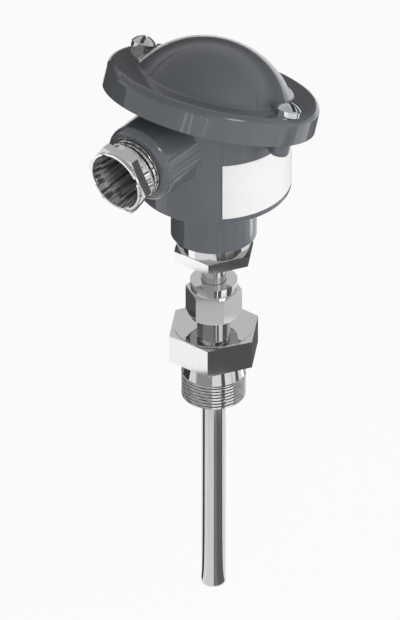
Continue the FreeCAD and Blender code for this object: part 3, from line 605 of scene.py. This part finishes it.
def seenDirectly(tree):  # 1 for the rays that show the background, in the open and in a reflection
    path = addNode(tree, "ShaderNodeLightPath")
    either = addNode(tree, "ShaderNodeMath", settings={"operation": "MAXIMUM"})
    tree.links.new(path.outputs["Is Camera Ray"], either.inputs[0])
    tree.links.new(path.outputs["Is Glossy Ray"], either.inputs[1])
    every = addNode(tree, "ShaderNodeMath", settings={"operation": "MAXIMUM"})
    tree.links.new(either.outputs[0], every.inputs[0])
    tree.links.new(path.outputs["Is Transmission Ray"], every.inputs[1])
    return every.outputs[0]


floorPaint = bpy.data.materials.new("paleFloor")
floorPaint.use_nodes = True
tree = floorPaint.node_tree
tree.nodes.clear()
matt = addNode(tree, "ShaderNodeBsdfDiffuse", values={"Color": linear(studio["floorTone"])})
glow = addNode(tree, "ShaderNodeEmission", values={"Color": linear("#ffffff"), "Strength": 1.0})
share = addNode(tree, "ShaderNodeMath", settings={"operation": "MULTIPLY"}, links={0: seenDirectly(tree)})
share.inputs[1].default_value = studio["floorGlow"]
both = addNode(tree, "ShaderNodeMixShader",
               links={0: share.outputs[0], 1: matt.outputs[0], 2: glow.outputs[0]})
addNode(tree, "ShaderNodeOutputMaterial", links={"Surface": both.outputs[0]})
floorMesh.materials.append(floorPaint)

room = bpy.data.worlds.new("paleRoom")
room.use_nodes = True
tree = room.node_tree
tree.nodes.clear()
level = addNode(tree, "ShaderNodeMapRange", links={"Value": seenDirectly(tree)})
level.inputs["To Min"].default_value = studio["roomFill"]
level.inputs["To Max"].default_value = 1.0
back = addNode(tree, "ShaderNodeBackground", values={"Color": linear(studio["roomTone"])},
               links={"Strength": level.outputs[0]})
addNode(tree, "ShaderNodeOutputWorld", links={"Surface": back.outputs[0]})
bpy.context.scene.world = room

middle = Vector((0, 0, 40 * mm))
lamps = {
    # name: direction from the object's middle, distance, width, height, watts
    "softboxRight": ((0.33, -0.90, 0.25), 1.1, 0.5, 0.6, 7.2),
    "softboxLeft": ((-0.90, -0.42, 0.30), 1.3, 0.5, 0.5, 4.6),
}
for name, (direction, distance, width, tall, watts) in lamps.items():
    lamp = bpy.data.lights.new(name, "AREA")
    lamp.shape = "RECTANGLE"
    lamp.size = width
    lamp.size_y = tall
    lamp.energy = watts
    holder = bpy.data.objects.new(name, lamp)
    bpy.context.scene.collection.objects.link(holder)
    towards = Vector(direction).normalized()
    holder.location = middle + towards * distance
    holder.rotation_mode = "QUATERNION"
    holder.rotation_quaternion = towards.to_track_quat("Z", "Y")
    holder.visible_camera = False
    holder.visible_glossy = False
print("studio lit with", len(lamps), "lamps")

# Cards that only reflections see, as a photographer sets them round bright metal. Each ring runs
# from a near radius and height to a far one, in metres, and holds sectors: from, to, brightness.
# Upright faces of a part at one height all mirror one ring of the floor.
cardHeight = studio["floorHeight"] + 0.5 * mm
cardSteps = 24
cardRings = {
    "underTube": (0.005, cardHeight, 0.112, cardHeight, [
        (100, 131, 0.06), (160, 222, 0.86), (222, 250, 0.24), (250, 309, 0.15),
    ]),
    "underThread": (0.112, cardHeight, 0.146, cardHeight, [
        (60, 100, 0.1), (100, 216, 0.33), (216, 247, 1.25), (247, 260, 0.12), (260, 294, 1.25),
        (294, 360, 0.4),
    ]),
    "underHexagon": (0.146, cardHeight, 0.167, cardHeight, [
        (-15, 60, 0.12), (62, 136, 0.06), (138, 160, 1.3), (229, 316, 0.11),
    ]),
    "besideHexagon": (0.13, cardHeight, 0.146, cardHeight, [(-15, 60, 0.12)]),
    "underNut": (0.167, cardHeight, 0.183, cardHeight, [
        (62, 136, 0.1), (190, 222, 0.66), (229, 312, 0.12), (312, 345, 0.72),
    ]),
    "underNeck": (0.183, cardHeight, 0.205, cardHeight, [
        (60, 221, 0.36), (221, 236, 0.12), (236, 240, 1.3), (240, 257, 0.12), (257, 285, 1.3),
        (285, 320, 0.12),
    ]),
    "besideNeckHexagon": (0.192, cardHeight, 0.2075, cardHeight, [(-15, 60, 0.1)]),
    "underNeckHexagon": (0.205, cardHeight, 0.2195, cardHeight, [
        (62, 136, 0.06), (138, 160, 1.4), (229, 316, 0.085),
    ]),
    "underNeckRing": (0.2195, cardHeight, 0.222, cardHeight, [
        (62, 140, 0.06), (221, 236, 0.12), (240, 257, 0.12), (285, 330, 0.12),
    ]),
    "underCollar": (0.222, cardHeight, 0.255, cardHeight, [
        (66, 138, 0.06), (229, 236, 0.7), (240, 262, 0.7), (266, 290, 0.7), (296, 316, 0.7),
    ]),
    "collarEdge": (0.222, cardHeight, 0.245, cardHeight, [(331, 346, 3.2)]),
    "underRim": (0.235, cardHeight, 0.3, cardHeight, [(347, 405, 0.1)]),
    "underBowl": (0.255, cardHeight, 0.45, cardHeight, [
        (62, 130, 0.06), (229, 236, 0.7), (240, 262, 0.7), (266, 290, 0.7),
    ]),
    "underMouth": (0.245, cardHeight + 0.001, 0.275, cardHeight + 0.001, [(128, 150, 1.35)]),
    "underEntry": (0.31, cardHeight, 0.37, cardHeight, [(296, 318, 0.12)]),
    "underRunOut": (0.45, cardHeight, 0.8, cardHeight, [
        (60, 100, 0.1), (100, 216, 0.36), (247, 260, 0.12), (294, 360, 0.4),
    ]),
    "behindHead": (0.5, cardHeight + 0.001, 1.3, cardHeight + 0.001, [(5, 42, 1.2)]),
    "wallStreaks": (2.2, -0.09, 2.2, 0.5, [(192, 195, 2.5), (199, 201, 2.5), (214, 216, 2.0)]),
    "neckWalls": (0.9, 0.57, 0.9, 0.612, [
        (60, 143, 0.1), (143, 221, 0.3), (221, 236, 0.14), (236, 241, 1.3), (241, 256, 0.14),
        (256, 285, 1.3), (285, 325, 0.1),
    ]),
    "horizonLow": (1.5, -0.09, 1.5, 0.3, [(-40, 100, 0.08)]),
    "horizonMiddle": (1.5, 0.3, 1.5, 0.45, [(-40, 100, 0.2)]),
    "horizonHigh": (1.5, 0.45, 1.5, 0.6, [(-40, 100, 0.4)]),
    "above": (1.5, 0.6, 1.279, 1.13, [(0, 120, 0.7), (120, 240, 0.7), (240, 360, 0.7)]),
    "higher": (1.279, 1.13, 1.0, 1.8, [(0, 120, 0.58), (120, 240, 0.58), (240, 360, 0.58)]),
    "overhead": (0.01, 1.8, 1.0, 1.8, [(0, 180, 0.55), (180, 360, 0.55)]),
    "edgeLight": (1.02, 1.02, 0.84, 1.17, [(256, 286, 8)]),
    "besideEntry": (1.4, 0.165, 1.4, 0.34, [(298, 312, 0.12)]),
    "besideBoss": (1.4, 0.1, 1.4, 0.16, [(298, 312, 2.2)]),
    "farBack": (0.8, cardHeight, 1.6, cardHeight, [(60, 130, 0.06)]),
}
cardCount = 0
for name, (nearRadius, nearHeight, farRadius, farHeight, sectors) in cardRings.items():
    for fromAzimuth, toAzimuth, brightness in sectors:
        corners = []
        for step in range(cardSteps + 1):
            way = math.radians(fromAzimuth + (toAzimuth - fromAzimuth) * step / cardSteps)
            corners.append((nearRadius * math.cos(way), nearRadius * math.sin(way), nearHeight))
            corners.append((farRadius * math.cos(way), farRadius * math.sin(way), farHeight))
        faces = [(2 * step, 2 * step + 1, 2 * step + 3, 2 * step + 2) for step in range(cardSteps)]
        cardName = "card_" + name + "_" + str(fromAzimuth)
        cardMesh = bpy.data.meshes.new(cardName)
        cardMesh.from_pydata(corners, [], faces)
        cardPaint = bpy.data.materials.new(cardName)
        cardPaint.use_nodes = True
        tree = cardPaint.node_tree
        tree.nodes.clear()
        shine = addNode(tree, "ShaderNodeEmission", values={"Strength": brightness})
        addNode(tree, "ShaderNodeOutputMaterial", links={"Surface": shine.outputs[0]})
        cardMesh.materials.append(cardPaint)
        card = bpy.data.objects.new(cardName, cardMesh)
        bpy.context.scene.collection.objects.link(card)
        card.visible_camera = False
        card.visible_diffuse = False
        card.visible_transmission = False
        card.visible_shadow = False
        cardCount += 1
print("cards set:", cardCount)

# The camera stands where the photograph was taken from: far away, so lines stay parallel
shot = {
    "azimuth": -49.0, "elevation": 33.3, "pixelsPerMm": 3.085, "lens": 900.0, "sensor": 36.0,
    "imageWidth": 400, "imageHeight": 620, "originX": 213.7, "originY": 351.3,
}
azimuth = math.radians(shot["azimuth"])
elevation = math.radians(shot["elevation"])
viewBack = Vector((
    math.sin(azimuth) * math.cos(elevation),
    -math.cos(azimuth) * math.cos(elevation),
    math.sin(elevation),
))
viewRight = Vector((math.cos(azimuth), math.sin(azimuth), 0))
viewUp = viewBack.cross(viewRight)
aim = (
    viewRight * (shot["imageWidth"] / 2 - shot["originX"]) / shot["pixelsPerMm"]
    + viewUp * (shot["originY"] - shot["imageHeight"] / 2) / shot["pixelsPerMm"]
) * mm
camera = bpy.data.cameras.new("camera")
camera.lens = shot["lens"]
camera.sensor_width = shot["sensor"]
camera.sensor_fit = "AUTO"
distance = shot["imageHeight"] / shot["pixelsPerMm"] * mm * shot["lens"] / shot["sensor"]
camera.clip_start = 0.1
camera.clip_end = 60.0
holder = bpy.data.objects.new("camera", camera)
bpy.context.scene.collection.objects.link(holder)
holder.matrix_world = Matrix.Translation(aim + viewBack * distance) @ Matrix((
    (viewRight.x, viewUp.x, viewBack.x, 0),
    (viewRight.y, viewUp.y, viewBack.y, 0),
    (viewRight.z, viewUp.z, viewBack.z, 0),
    (0, 0, 0, 1),
))
bpy.context.scene.camera = holder
bpy.context.scene.view_settings.view_transform = "Standard"
